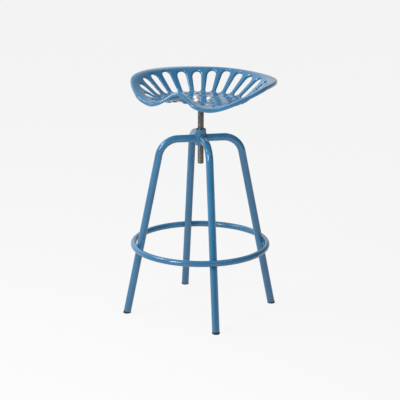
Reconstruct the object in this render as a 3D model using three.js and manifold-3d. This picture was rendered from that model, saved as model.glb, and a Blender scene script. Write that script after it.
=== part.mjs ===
// Stool with a tractor seat that turns on a screw spindle and so rises and falls.
// Millimetres, +Z up, the front of the seat faces -Y. The origin is on the floor, on the spindle's axis.
import * as THREE from 'three';
import { mergeVertices } from 'three/addons/utils/BufferGeometryUtils.js';
import Module from 'manifold-3d';

const wasm = await Module();
wasm.setup();

// Fits
const fitGap = 0.3; // between pieces that are welded, seated or let into each other
const overrun = 20; // how far a cutting tool runs past the piece it cuts
const weldTolerance = 1e-4; // vertices nearer to each other than this are one

// Under frame
const legCount = 4;
const legTurn = THREE.MathUtils.degToRad(38); // first leg, from +X towards +Y
const legLean = THREE.MathUtils.degToRad(11.5); // from the vertical
const legTube = 22;
const legWall = 1.5;
const legBendRadius = 58; // on the tube's centreline
const footReach = 222.3; // from the axis to a leg's centreline, at the floor
const armHeight = 527; // centreline of the level part of the legs
const glideHeight = 5; // from the floor to the tube's end, on the leg's centreline
const glidePlugLength = 18;
const glideBevel = 1.2;

// Foot ring
const ringTube = 18;
const ringWall = 1.5;
const ringHeight = 204.6;
const ringLetIn = 3; // depth that the legs are let into the ring
const ringSeam = 0.4; // butt joint where the bent tube meets itself, behind a leg

// Hub and spindle
const hubOuter = 32;
const hubBore = 25.4;
const hubLength = 48;
const hubBelowArm = 20.5;
const nutLength = 34;
const nutRecess = 1.5; // the nut's lower end above the hub's
const spindleDiameter = 18;
const spindleBelowHub = 56;
const spindleShown = 73; // bare spindle between the hub and the buffer ring
const spindleChamfer = 1.5;

// Buffer ring and mounting plate, under the seat
const bufferOuter = 34;
const bufferHeight = 5;
const bufferRound = 1.5;
const plateDiameter = 70;
const plateThickness = 5;

// Bolts that hold the seat on its plate, whose holes are tapped, each with a washer under its head
const boltCount = 3; // evenly round the axis, the first in front
const boltReach = 25; // from the axis
const boltDiameter = 8;
const boltHeadDiameter = 16;
const boltHeadHeight = 5.6;
const boltHeadEdge = 1.2; // upright edge of the head, below its dome
const boltChamfer = 0.75;
const boltHole = 8.8;
const washerOuter = 20;
const washerThickness = 1.6;
const washerRound = 0.4;

// Seat pan, pressed from sheet
const sheet = 3;
const seatHalfWidth = 207; // to the crest of the rim
const seatBack = 190; // from the axis to the crest of the rim, at the back
const seatFront = 157; // from the axis to the front of the thigh lobes
const backRise = 61; // of the rim's crest over the pan's floor, at the back
const panCentreBack = -2; // where the slots point to, from the axis towards the back
const lipRadius = 4.5; // outer radius of the rolled edge
const lipDrop = 10.5; // from the crest to the lower edge of the lip
const flatShare = 0.585; // of the way out to the rim, over which the floor is level
const ridgeFlatShare = 0.26; // the same, along the pommel's ridge, where its skirts start too
const wallSoftnessShare = 0.1; // rounds the foot of the wall
const bowlEdgeShare = 0.975; // the bowl's own oval edge, against the seat's; inside the rim at the corners
const edgeLimitShare = 1.05; // most that the edge goes past the rim
const edgeSoftnessShare = 0.08; // rounds the wall where it meets the bowl's edge
const ridgeSharpness = 3; // how soon the level floor shortens towards the front
const skirtHeight = 8; // fullest rise of the skirts on either side of the pommel's ridge
const skirtTurn = THREE.MathUtils.degToRad(27); // from the front to a skirt's fullest line
const skirtSpread = THREE.MathUtils.degToRad(14);

// Crest of the rim on one side, from the middle of the back to the middle of the pommel. Sideways is
// a share of the half width, along a share of the reach to the back or the front, rise of backRise.
const rimShares = [
  { sideways: 0, along: 1, rise: 1 },
  { sideways: 0.846, along: 0.659, rise: 0.957 },
  { sideways: 1, along: -0.147, rise: 0.957 },
  { sideways: 0.738, along: -0.687, rise: 0.425 },
  { sideways: 0.491, along: -0.862, rise: 0.151 },
  { sideways: 0.278, along: -1, rise: 0.302 },
  { sideways: 0, along: -0.911, rise: 0.785 },
];

// Slots and holes of the pan
const slotPitch = THREE.MathUtils.degToRad(15);
const slotsEachSide = 8; // beside the one in the middle of the back
const slotOuterWidth = 25;
const slotInnerWidth = 20.5;
const slotInsetBack = 12.5; // from the crest of the rim to the slot, seen from above
const slotInsetSide = 24;
const slotInsetCorner = 8.5; // more than the mean of the two, at the corners
const frontSlotWidth = 15;
const holeDiameter = 11;

// Oval through the inner ends of the slots, as shares of the half width and of the reach to the back
const slotOvalShares = { side: 0.636, back: 0.607 };

// Rings of round holes: how many on each side, the first one's angle from the back and the angle to the
// next, in degrees, and the ring's oval in the same shares
const holeRingShares = [
  { eachSide: 8, first: 10, pitch: 20, side: 0.507, back: 0.45 },
  { eachSide: 4, first: 22.5, pitch: 45, side: 0.268, back: 0.293 },
];

// Short slots beside the pommel: how many slot pitches from the back, and how far their ends lie from
// the slots' centre as a share of the half width
const frontSlotShares = [
  { pitches: 9, inner: 0.555, outer: 0.71 },
  { pitches: 10, inner: 0.53, outer: 0.63 },
];

// Fineness of the round shapes, in counts
const rimSteps = 60;
const tubeSides = 16;
const boreSides = 8;
const bendSteps = 8;
const ringSteps = 44;
const ringSides = 12;
const ringBoreSides = 8;
const turnSides = 24;
const smallSides = 16;
const slotEndSteps = 5;
const holeEndSteps = 4;
const searchSteps = 720;
const stepShare = 1e-3; // of the rim or of the way out, for slopes

// Places worked out from the sizes above
const up = new THREE.Vector3(0, 0, 1);
const legRadius = legTube / 2;
const hubBottom = armHeight - hubBelowArm;
const hubTop = hubBottom + hubLength;
const bufferBottom = hubTop + spindleShown;
const plateBottom = bufferBottom + bufferHeight + fitGap;
const plateTop = plateBottom + plateThickness;
const panUnderside = plateTop + fitGap;
const panFloor = panUnderside + sheet;
const legReachAt = (height) => footReach - height * Math.tan(legLean);
const ringRadius = legReachAt(ringHeight) + legRadius / Math.cos(legLean) + ringTube / 2 - ringLetIn;

// Colours of the finishes
const finishes = {
  paint: { color: 0x4080b0, roughness: 0.35, metalness: 0.1 },
  steel: { color: 0x5c5b58, roughness: 0.4, metalness: 0.9 },
  zinc: { color: 0xc8c8c4, roughness: 0.3, metalness: 0.9 },
  rubber: { color: 0x1b1b1d, roughness: 0.8, metalness: 0 },
};

const stool = new THREE.Group();

// Adds a named mesh to a group
function addMesh(parent, name, geometry, finish) {
  const mesh = new THREE.Mesh(geometry, new THREE.MeshStandardMaterial(finishes[finish]));
  mesh.name = name;
  parent.add(mesh);
  return mesh;
}

// Turns a closed geometry into a solid for cutting
function toSolid(geometry) {
  const bare = geometry.clone();
  bare.deleteAttribute('normal');
  bare.deleteAttribute('uv');
  const merged = mergeVertices(bare, weldTolerance);
  const vertProperties = new Float32Array(merged.attributes.position.array);
  const triVerts = new Uint32Array(merged.index.array);
  return new wasm.Manifold(new wasm.Mesh({ numProp: 3, vertProperties, triVerts }));
}

// Turns a solid back into a geometry
function toGeometry(solid) {
  const mesh = solid.getMesh();
  const geometry = new THREE.BufferGeometry();
  geometry.setAttribute('position', new THREE.BufferAttribute(mesh.vertProperties, 3));
  geometry.setIndex(new THREE.BufferAttribute(mesh.triVerts, 1));
  geometry.computeVertexNormals();
  return geometry;
}

// Lathe about Z from [radius, height] points that close on themselves or lie on the axis at both ends
function turned(points, sides) {
  const geometry = new THREE.LatheGeometry(
    points.map(([radius, height]) => new THREE.Vector2(radius, height)),
    sides,
  );
  geometry.rotateX(Math.PI / 2);
  return geometry;
}

// Plain round bar or cutting tool about Z, between two heights
function roundBar(radius, low, high, sides) {
  return turned([[0, low], [radius, low], [radius, high], [0, high]], sides);
}

// Round tube about Z, between two heights
function roundTube(outer, inner, low, high, sides) {
  return turned([[inner, low], [outer, low], [outer, high], [inner, high], [inner, low]], sides);
}

// Ring-shaped section of a tube, or a full disc where no inner radius is given
function tubeSection(outer, inner) {
  const section = new THREE.Shape(circlePoints(outer, tubeSides));
  if (inner) section.holes.push(new THREE.Path(circlePoints(inner, boreSides)));
  return section;
}

function circlePoints(radius, sides) {
  const points = [];
  for (let i = 0; i < sides; i += 1) {
    const angle = (i / sides) * 2 * Math.PI;
    points.push(new THREE.Vector2(radius * Math.cos(angle), radius * Math.sin(angle)));
  }
  return points;
}

// A leg's centreline in the plane of reach and height: level arm, bend, leaning leg. Each step of an
// extrusion along it lands on an end of a straight stretch or inside the bend.
class LegLine extends THREE.Curve {
  constructor(innerReach, endHeight) {
    super();
    const turn = Math.PI / 2 - legLean;
    const tangent = legBendRadius * Math.tan(turn / 2);
    const centreReach = legReachAt(armHeight) - tangent;
    this.steps = bendSteps + 2;
    this.points = [new THREE.Vector3(innerReach, 0, armHeight)];
    for (let i = 0; i <= bendSteps; i += 1) {
      const angle = (i / bendSteps) * turn;
      const reach = centreReach + legBendRadius * Math.sin(angle);
      const height = armHeight - legBendRadius * (1 - Math.cos(angle));
      this.points.push(new THREE.Vector3(reach, 0, height));
    }
    this.points.push(new THREE.Vector3(legReachAt(endHeight), 0, endHeight));
  }

  getPoint(t) {
    const place = Math.min(Math.max(t, 0), 1) * this.steps;
    const i = Math.min(Math.floor(place), this.steps - 1);
    return this.points[i].clone().lerp(this.points[i + 1], place - i);
  }

  getUtoTmapping(u) {
    return u;
  }
}

// Circle in a level plane that stops just short of closing, for a tube bent into a ring
class OpenRing extends THREE.Curve {
  constructor(radius, height, seamAngle) {
    super();
    const gapAngle = ringSeam / radius;
    this.place = (t) => {
      const angle = seamAngle + gapAngle / 2 + t * (2 * Math.PI - gapAngle);
      return new THREE.Vector3(radius * Math.cos(angle), radius * Math.sin(angle), height);
    };
  }

  getPoint(t) {
    return this.place(t);
  }
}

function legGeometry(outer, inner, endHeight) {
  const line = new LegLine(0, endHeight);
  return new THREE.ExtrudeGeometry(tubeSection(outer, inner), {
    steps: line.steps,
    extrudePath: line,
    bevelEnabled: false,
  });
}

// Hollow leg, with its level end cut to sit round the hub
function legPiece() {
  const hubTool = roundBar(hubOuter / 2 + fitGap, hubBottom - overrun, hubTop + overrun, turnSides);
  const tube = toSolid(legGeometry(legRadius, legRadius - legWall, glideHeight));
  return toGeometry(largestPart(tube.subtract(toSolid(hubTool))));
}

// The cut at the hub leaves a stub on the axis, which is dropped
function largestPart(solid) {
  return solid.decompose().reduce((a, b) => (a.volume() > b.volume() ? a : b));
}

// Glide at the foot of a leg: a plug in the tube's bore and a head that stands flat on the floor
function glidePiece() {
  const plugRadius = (legRadius - legWall) * Math.cos(Math.PI / boreSides) - fitGap;
  const headTop = -fitGap;
  const headBottom = -glideHeight - overrun;
  const profile = [
    [0, headBottom],
    [legRadius, headBottom],
    [legRadius, headTop - glideBevel],
    [legRadius - glideBevel / 2, headTop],
    [plugRadius, headTop],
    [plugRadius, glidePlugLength - glideBevel],
    [plugRadius - glideBevel, glidePlugLength],
    [0, glidePlugLength],
  ];
  const plug = turned(profile, smallSides);
  plug.rotateY(-legLean);
  plug.translate(legReachAt(glideHeight), 0, glideHeight);
  const floorTool = new THREE.BoxGeometry(2 * footReach, 2 * footReach, 2 * overrun + glideHeight);
  floorTool.translate(footReach, 0, -overrun - glideHeight / 2);
  return toGeometry(toSolid(plug).subtract(toSolid(floorTool)));
}

// Foot ring: a tube bent into a circle, let in where it crosses the legs outside them
function footRingPiece() {
  const seamAngle = legTurn + Math.PI / legCount;
  const ring = new THREE.ExtrudeGeometry(ringSection(), {
    steps: ringSteps,
    extrudePath: new OpenRing(ringRadius, ringHeight, seamAngle),
    bevelEnabled: false,
  });
  let solid = toSolid(ring);
  for (let i = 0; i < legCount; i += 1) {
    const tool = legGeometry(legRadius + fitGap, 0, glideHeight);
    tool.rotateZ(legTurn + (i / legCount) * 2 * Math.PI);
    solid = solid.subtract(toSolid(tool));
  }
  return toGeometry(solid);
}

function ringSection() {
  const section = new THREE.Shape(circlePoints(ringTube / 2, ringSides));
  section.holes.push(new THREE.Path(circlePoints(ringTube / 2 - ringWall, ringBoreSides)));
  return section;
}

// The lesser of two values, with a soft change from one to the other
function softMin(a, b, softness) {
  return (a + b - Math.hypot(a - b, softness)) / 2;
}

// Height of the pan between its floor, 0, and its rim, 1, at a share of the way out. The wall climbs
// from the level share and flattens where it meets the bowl's edge.
function bowl(share, { level, edge }) {
  const k = wallSoftnessShare;
  const climb = (at) => {
    const s = Math.max(0, (at - level) / (edge - level));
    const rise = (Math.hypot(s, k) - k) / (Math.hypot(1, k) - k);
    return softMin(rise, 1, edgeSoftnessShare) - softMin(0, 1, edgeSoftnessShare);
  };
  return climb(share) / climb(1);
}

const panCentre = new THREE.Vector3(0, panCentreBack, panFloor);

// Crest of the rim, as a closed smooth curve through its stations
function makeRim() {
  const place = ({ sideways, along, rise }, side) =>
    new THREE.Vector3(
      side * sideways * seatHalfWidth,
      along * (along > 0 ? seatBack : seatFront),
      panFloor + rise * backRise,
    );
  const right = rimShares.map((share) => place(share, 1));
  const left = rimShares.slice(1, -1).reverse().map((share) => place(share, -1));
  return new THREE.CatmullRomCurve3([...right, ...left], true, 'catmullrom', 0.5);
}

const rim = makeRim();

// How far out the bowl's oval edge lies, as a share of the way to a point of the rim
function edgeAt(away) {
  const edge = ovalReach(Math.atan2(away.x, away.y), { side: bowlEdgeShare, back: bowlEdgeShare });
  return softMin(edge / away.length(), edgeLimitShare, edgeSoftnessShare);
}

// One section of the pan at a place along the rim: where the wall ends and the rolled lip starts
function sectionAt(u) {
  const crest = rim.getPoint(u);
  const tangent = rim.getTangent(u);
  const outward = new THREE.Vector3(-tangent.y, tangent.x, 0).normalize();
  const away = new THREE.Vector3(crest.x - panCentre.x, crest.y - panCentre.y, 0);
  const reach = away.length();
  const towardsFront = Math.max(0, -away.y / reach);
  const level = flatShare + (ridgeFlatShare - flatShare) * towardsFront ** ridgeSharpness;
  const profile = { level, edge: edgeAt(away) };
  const slope = Math.atan(((crest.z - panFloor) * (1 - bowl(1 - stepShare, profile))) / (stepShare * reach));
  const rollCentre = crest.clone().addScaledVector(up, -lipRadius);
  const rollPoint = (radius, angle) =>
    rollCentre
      .clone()
      .addScaledVector(outward, radius * Math.sin(angle))
      .addScaledVector(up, radius * Math.cos(angle));
  const wallTop = rollPoint(lipRadius, -slope);
  return { profile, slope, outward, crest, towardsFront, rollPoint, wallTop };
}

// Rise of a skirt: a hump between the middle and the rim, fading to both sides of its fullest line
function skirt(share, towardsFront) {
  const t = Math.max(0, (share - ridgeFlatShare) / (1 - ridgeFlatShare));
  const off = (Math.acos(towardsFront) - skirtTurn) / skirtSpread;
  return skirtHeight * Math.sin(Math.PI * t) ** 2 * Math.exp(-off * off);
}

// Point of the pan's upper face at a place along the rim and a share of the way out
function panPoint(u, share) {
  const { profile, towardsFront, wallTop } = sectionAt(u);
  const point = panCentre.clone().lerp(wallTop, share);
  point.z = panFloor + (wallTop.z - panFloor) * bowl(share, profile) + skirt(share, towardsFront);
  return point;
}

// Upward normal of the pan's upper face
function panNormal(u, share) {
  const middle = Math.max(share, 2 * stepShare);
  const along = panPoint(u + stepShare, middle).sub(panPoint(u - stepShare, middle));
  const out = panPoint(u, middle + stepShare).sub(panPoint(u, middle - stepShare));
  return along.cross(out).normalize();
}

// Closed outline of one section, from near the centre of the upper face, round the lip, and back
function panSection(u) {
  const shares = [0.26, 0.42, 0.56, 0.7, 0.85, 1];
  const section = sectionAt(u);
  const upper = shares.map((share) => panPoint(u, share));
  const lower = shares.map((share) => panPoint(u, share).addScaledVector(panNormal(u, share), -sheet));
  const arcShares = [0.35, 0.7, 1];
  const arcAngle = (share) => -section.slope + share * (Math.PI / 2 + section.slope);
  const outerArc = arcShares.map((share) => section.rollPoint(lipRadius, arcAngle(share)));
  const innerArc = arcShares.map((share) => section.rollPoint(lipRadius - sheet, arcAngle(share)));
  const edge = (radius) =>
    section.crest.clone().addScaledVector(section.outward, radius).addScaledVector(up, -lipDrop);
  const outside = [...upper, ...outerArc, edge(lipRadius)];
  const inside = [...lower, ...innerArc, edge(lipRadius - sheet)];
  return [...outside, ...inside.reverse()];
}

// Skin over rings of points, closed at both ends by a pole
function skin(rings, firstPole, lastPole) {
  const around = rings.length;
  const across = rings[0].length;
  const points = [firstPole, lastPole, ...rings.flat()];
  const at = (i, j) => 2 + (i % around) * across + j;
  const index = [];
  for (let i = 0; i < around; i += 1) {
    index.push(0, at(i + 1, 0), at(i, 0));
    for (let j = 0; j + 1 < across; j += 1) {
      index.push(at(i, j), at(i + 1, j), at(i + 1, j + 1));
      index.push(at(i, j), at(i + 1, j + 1), at(i, j + 1));
    }
    index.push(1, at(i, across - 1), at(i + 1, across - 1));
  }
  const geometry = new THREE.BufferGeometry().setFromPoints(points);
  geometry.setIndex(index);
  return geometry;
}

// Reach of the rim's crest from the slots' centre, in a direction measured from the back
function rimReach(angle) {
  const direction = new THREE.Vector3(Math.sin(angle), Math.cos(angle), 0);
  let best = { likeness: -1, reach: 0 };
  for (let i = 0; i < searchSteps; i += 1) {
    const point = rim.getPoint(i / searchSteps).sub(panCentre).setZ(0);
    const likeness = point.clone().normalize().dot(direction);
    if (likeness > best.likeness) best = { likeness, reach: point.length() };
  }
  return best.reach;
}

// Reach of an oval, given in shares of the seat's own sizes, in a direction measured from the back
function ovalReach(angle, { side, back }) {
  const across = Math.sin(angle) / (side * seatHalfWidth);
  const along = Math.cos(angle) / (back * (seatBack - panCentreBack));
  return 1 / Math.hypot(across, along);
}

// Distance from the rim's crest to a slot's outer end, seen from above
function slotInset(angle) {
  const sideways = (slotInsetSide - slotInsetBack) * Math.sin(angle) ** 2;
  return slotInsetBack + sideways + slotInsetCorner * Math.sin(2 * angle) ** 2;
}

// Tool for a slot with round ends that runs outward from the slots' centre
function slotTool(angle, inner, outer, innerWidth, outerWidth, endSteps) {
  const shape = new THREE.Shape();
  shape.absarc(0, inner + innerWidth / 2, innerWidth / 2, Math.PI, 2 * Math.PI, false);
  shape.absarc(0, outer - outerWidth / 2, outerWidth / 2, 0, Math.PI, false);
  const depth = backRise + 2 * overrun;
  const tool = new THREE.ExtrudeGeometry(shape, { depth, bevelEnabled: false, curveSegments: endSteps });
  tool.rotateZ(-angle);
  tool.translate(panCentre.x, panCentre.y, panFloor - overrun);
  return toSolid(tool);
}

// Round hole of the pan
function holeTool(angle, reach) {
  const half = holeDiameter / 2;
  return slotTool(angle, reach - half, reach + half, holeDiameter, holeDiameter, holeEndSteps);
}

// All slots and holes of the pan
function panTools() {
  const tools = [];
  for (let k = -slotsEachSide; k <= slotsEachSide; k += 1) {
    const angle = k * slotPitch;
    const inner = ovalReach(angle, slotOvalShares);
    const outer = rimReach(angle) - slotInset(angle);
    tools.push(slotTool(angle, inner, outer, slotInnerWidth, slotOuterWidth, slotEndSteps));
  }
  for (const side of [-1, 1]) {
    for (const { pitches, inner, outer } of frontSlotShares) {
      const angle = side * pitches * slotPitch;
      const ends = [inner * seatHalfWidth, outer * seatHalfWidth];
      tools.push(slotTool(angle, ...ends, frontSlotWidth, frontSlotWidth, slotEndSteps));
    }
    for (const ring of holeRingShares) {
      for (let k = 0; k < ring.eachSide; k += 1) {
        const angle = side * THREE.MathUtils.degToRad(ring.first + k * ring.pitch);
        tools.push(holeTool(angle, ovalReach(angle, ring)));
      }
    }
  }
  return tools;
}

// Seat pan with its slots, holes and bolt holes
function seatPanPiece() {
  const rings = [];
  for (let i = 0; i < rimSteps; i += 1) rings.push(panSection(i / rimSteps));
  const lowPole = panCentre.clone().addScaledVector(up, -sheet);
  let solid = toSolid(skin(rings, panCentre, lowPole));
  for (const tool of panTools()) solid = solid.subtract(tool);
  for (const [x, y] of boltPlaces()) {
    const tool = roundBar(boltHole / 2, panUnderside - overrun, panFloor + overrun, smallSides);
    tool.translate(x, y, 0);
    solid = solid.subtract(toSolid(tool));
  }
  return toGeometry(solid);
}

function boltPlaces() {
  const places = [];
  for (let i = 0; i < boltCount; i += 1) {
    const angle = (i / boltCount) * 2 * Math.PI - Math.PI / 2;
    places.push([boltReach * Math.cos(angle), boltReach * Math.sin(angle)]);
  }
  return places;
}

// Round plate with a hole for the spindle and one for each bolt
function platePiece() {
  const shape = new THREE.Shape(circlePoints(plateDiameter / 2, turnSides));
  const addHole = (x, y, radius) => {
    const centre = new THREE.Vector2(x, y);
    const points = circlePoints(radius, smallSides).map((point) => point.add(centre));
    shape.holes.push(new THREE.Path(points));
  };
  addHole(0, 0, spindleDiameter / 2 + fitGap);
  for (const [x, y] of boltPlaces()) addHole(x, y, boltHole / 2);
  const plate = new THREE.ExtrudeGeometry(shape, { depth: plateThickness, bevelEnabled: false });
  plate.translate(0, 0, plateBottom);
  return plate;
}

// Bolt with a domed head, its shank down through the pan and flush with the plate's underside
function boltPiece() {
  const headBottom = panFloor + washerThickness + 2 * fitGap;
  const headRadius = boltHeadDiameter / 2;
  const domeShares = [0, 0.3, 0.55, 0.8];
  const dome = domeShares.map((share) => {
    const angle = (share * Math.PI) / 2;
    const rise = (boltHeadHeight - boltHeadEdge) * Math.sin(angle);
    return [headRadius * Math.cos(angle), headBottom + boltHeadEdge + rise];
  });
  const radius = boltDiameter / 2;
  return turned(
    [
      [0, plateBottom],
      [radius - boltChamfer, plateBottom],
      [radius, plateBottom + boltChamfer],
      [radius, headBottom],
      [headRadius, headBottom],
      ...dome,
      [0, headBottom + boltHeadHeight],
    ],
    smallSides,
  );
}

// Washer between a bolt's head and the pan, its upper edge rounded off
function washerPiece() {
  const low = panFloor + fitGap;
  const high = low + washerThickness;
  return turned(
    [
      [boltHole / 2, low],
      [washerOuter / 2, low],
      [washerOuter / 2, high - washerRound],
      [washerOuter / 2 - washerRound, high],
      [boltHole / 2, high],
      [boltHole / 2, low],
    ],
    smallSides,
  );
}

// Hub: the sleeve that the legs are welded to
function hubPiece() {
  return roundTube(hubOuter / 2, hubBore / 2, hubBottom, hubTop, turnSides);
}

// Threaded bush in the hub, drawn with a plain bore at the thread's outside diameter
function spindleNutPiece() {
  const low = hubBottom + nutRecess;
  return roundTube(hubBore / 2 - fitGap, spindleDiameter / 2 + fitGap, low, low + nutLength, turnSides);
}

// Spindle, drawn at the thread's outside diameter, its upper end let into the plate
function spindlePiece() {
  const low = hubBottom - spindleBelowHub;
  const radius = spindleDiameter / 2;
  return turned(
    [
      [0, low],
      [radius - spindleChamfer, low],
      [radius, low + spindleChamfer],
      [radius, plateTop],
      [0, plateTop],
    ],
    turnSides,
  );
}

// Rubber ring that meets the hub when the seat is right down
function bufferPiece() {
  const inner = spindleDiameter / 2 + fitGap;
  const outer = bufferOuter / 2;
  const high = bufferBottom + bufferHeight;
  return turned(
    [
      [inner, bufferBottom],
      [outer - bufferRound, bufferBottom],
      [outer, bufferBottom + bufferRound],
      [outer, high - bufferRound],
      [outer - bufferRound, high],
      [inner, high],
      [inner, bufferBottom],
    ],
    turnSides,
  );
}

// Under frame: hub, legs, glides and foot ring
function buildFrame() {
  addMesh(stool, 'hub_sleeve', hubPiece(), 'paint');
  addMesh(stool, 'spindle_nut', spindleNutPiece(), 'steel');
  for (let i = 0; i < legCount; i += 1) {
    const corner = new THREE.Group();
    corner.rotation.z = legTurn + (i / legCount) * 2 * Math.PI;
    stool.add(corner);
    addMesh(corner, `leg_${i + 1}`, legPiece(), 'paint');
    addMesh(corner, `glide_${i + 1}`, glidePiece(), 'rubber');
  }
  addMesh(stool, 'foot_ring', footRingPiece(), 'paint');
}

// Seat, with what holds it on its spindle
function buildSeat() {
  addMesh(stool, 'spindle', spindlePiece(), 'steel');
  addMesh(stool, 'buffer_ring', bufferPiece(), 'rubber');
  addMesh(stool, 'mounting_plate', platePiece(), 'paint');
  addMesh(stool, 'seat_pan', seatPanPiece(), 'paint');
  boltPlaces().forEach(([x, y], i) => {
    const place = new THREE.Group();
    place.position.set(x, y, 0);
    stool.add(place);
    addMesh(place, `seat_bolt_${i + 1}`, boltPiece(), 'zinc');
    addMesh(place, `seat_washer_${i + 1}`, washerPiece(), 'zinc');
  });
}

buildFrame();
buildSeat();

export default stool;
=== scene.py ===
import math

import bpy
import bmesh
import numpy as np
from mathutils import Matrix, Vector


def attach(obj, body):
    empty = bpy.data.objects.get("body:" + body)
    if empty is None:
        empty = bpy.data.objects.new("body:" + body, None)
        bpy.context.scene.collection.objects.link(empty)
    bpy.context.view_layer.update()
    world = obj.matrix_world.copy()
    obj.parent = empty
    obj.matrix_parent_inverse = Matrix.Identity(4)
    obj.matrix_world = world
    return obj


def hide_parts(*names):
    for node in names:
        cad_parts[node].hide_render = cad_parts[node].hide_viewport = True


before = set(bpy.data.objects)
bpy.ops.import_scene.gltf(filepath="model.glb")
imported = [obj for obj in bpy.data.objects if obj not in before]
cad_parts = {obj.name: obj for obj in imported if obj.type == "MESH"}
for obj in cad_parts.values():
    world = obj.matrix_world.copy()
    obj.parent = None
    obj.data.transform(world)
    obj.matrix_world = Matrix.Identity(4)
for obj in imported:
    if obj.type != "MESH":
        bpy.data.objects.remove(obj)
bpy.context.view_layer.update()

mm = 0.001
turn = 2 * np.pi

print("stage: frame loaded,", len(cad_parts), "nodes")

# Camera, fitted to the photograph: straight lens, no shift
camera = {
    "place": (1834.3, -3783.6, 1549.2),
    "target": (-0.89, -0.65, 337.84),
    "roll": 0.29,         # degrees, anticlockwise seen from behind
    "focalPixels": 1479.79,
    "imageWidth": 400,
    "sensorWidth": 36.0,
    "farEnd": 100.0,      # metres
}


def makeCamera():
    # looks from place to target, then rolls about its own axis
    data = bpy.data.cameras.new("camera")
    data.sensor_width = camera["sensorWidth"]
    data.lens = camera["focalPixels"] / camera["imageWidth"] * data.sensor_width
    data.clip_end = camera["farEnd"]
    obj = bpy.data.objects.new("camera", data)
    bpy.context.scene.collection.objects.link(obj)
    place = Vector(camera["place"]) * mm
    look = Vector(camera["target"]) * mm - place
    turned = look.to_track_quat("-Z", "Y").to_matrix().to_4x4()
    rolled = Matrix.Rotation(math.radians(camera["roll"]), 4, "Z")
    obj.matrix_world = Matrix.Translation(place) @ turned @ rolled
    bpy.context.scene.camera = obj


makeCamera()


# Mesh helpers. A grid is an array of rows x columns x 3, in millimetres.
def gridFaces(rows, columns, wrap, start):
    # quads between neighbouring rows; with wrap the last column meets the first
    j, i = np.meshgrid(np.arange(rows - 1), np.arange(columns if wrap else columns - 1), indexing="ij")
    right = (i + 1) % columns
    here, above = j * columns, (j + 1) * columns
    quads = np.stack([here + i, here + right, above + right, above + i], -1)
    return quads.reshape(-1, 4) + start


def makePiece(name, grids, material, body, nodes=(), sharp=35.0, merge=0.002):
    # joins grids of points into one welded mesh; each grid is (points, wrap)
    points, faces, start = [], [], 0
    for grid, wrap in grids:
        rows, columns = grid.shape[:2]
        points.append(grid.reshape(-1, 3))
        faces.append(gridFaces(rows, columns, wrap, start))
        start += rows * columns
    mesh = bpy.data.meshes.new(name)
    mesh.from_pydata((np.concatenate(points) * mm).tolist(), [], np.concatenate(faces).tolist())
    work = bmesh.new()
    work.from_mesh(mesh)
    bmesh.ops.remove_doubles(work, verts=work.verts, dist=merge * mm)
    work.to_mesh(mesh)
    work.free()
    mesh.materials.append(material)
    mesh.shade_smooth()
    mesh.set_sharp_from_angle(angle=math.radians(sharp))
    obj = bpy.data.objects.new(name, mesh)
    bpy.context.scene.collection.objects.link(obj)
    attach(obj, body)
    if nodes:
        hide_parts(*nodes)


def unit(vectors):
    # each vector over its own length
    return vectors / np.linalg.norm(vectors, axis=-1, keepdims=True)


def lathe(profile, sides):
    # rows of [radius, height] turned about Z; the first and last rows may lie on the axis
    profile = np.asarray(profile, float)
    angle = np.arange(sides) / sides * turn
    radius, height = profile[:, :1], profile[:, 1:]
    ring = [radius * np.cos(angle), radius * np.sin(angle), height + 0 * angle]
    return np.stack(ring, -1)


def roundCorners(profile, radius, steps=4):
    # each inner corner of an open profile becomes a quadratic curve that touches both its sides, as far
    # from the corner as an arc of that radius would, but not past most of the shorter side
    most = 0.45
    profile = np.asarray(profile, float)
    before, corner, after = profile[:-2], profile[1:-1], profile[2:]
    legA, legB = before - corner, after - corner
    lengthA, lengthB = np.linalg.norm(legA, axis=1), np.linalg.norm(legB, axis=1)
    cosine = np.clip((legA * legB).sum(1) / (lengthA * lengthB), -1, 1)
    half = np.arccos(cosine) / 2
    reach = np.minimum(radius / np.tan(half), most * np.minimum(lengthA, lengthB))[:, None]
    first = corner + legA / lengthA[:, None] * reach
    last = corner + legB / lengthB[:, None] * reach
    t = np.linspace(0, 1, steps + 1)[None, :, None]
    arc = (1 - t) ** 2 * first[:, None] + 2 * t * (1 - t) * corner[:, None] + t ** 2 * last[:, None]
    return np.concatenate([profile[:1], arc.reshape(-1, 2), profile[-1:]])


def sweep(path, side, radius, sides, closed=False):
    # a round section carried along a path, square to it; side is a direction that is never along the path
    if closed:
        along = unit(np.roll(path, -1, 0) - np.roll(path, 1, 0))
    else:
        along = unit(np.gradient(path, axis=0))
    across = unit(np.cross(along, side))
    over = np.cross(along, across)
    angle = np.arange(sides) / sides * turn
    radius = np.broadcast_to(np.asarray(radius, float), path.shape[:1])[:, None, None]
    ring = np.cos(angle)[None, :, None] * across[:, None] + np.sin(angle)[None, :, None] * over[:, None]
    return path[:, None] + radius * ring


def turnAboutZ(points, angle):
    # x and y by the cosine and sine of the angle, z as it is
    c, s = math.cos(angle), math.sin(angle)
    return points @ np.array([[c, s, 0], [-s, c, 0], [0, 0, 1]])


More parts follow.
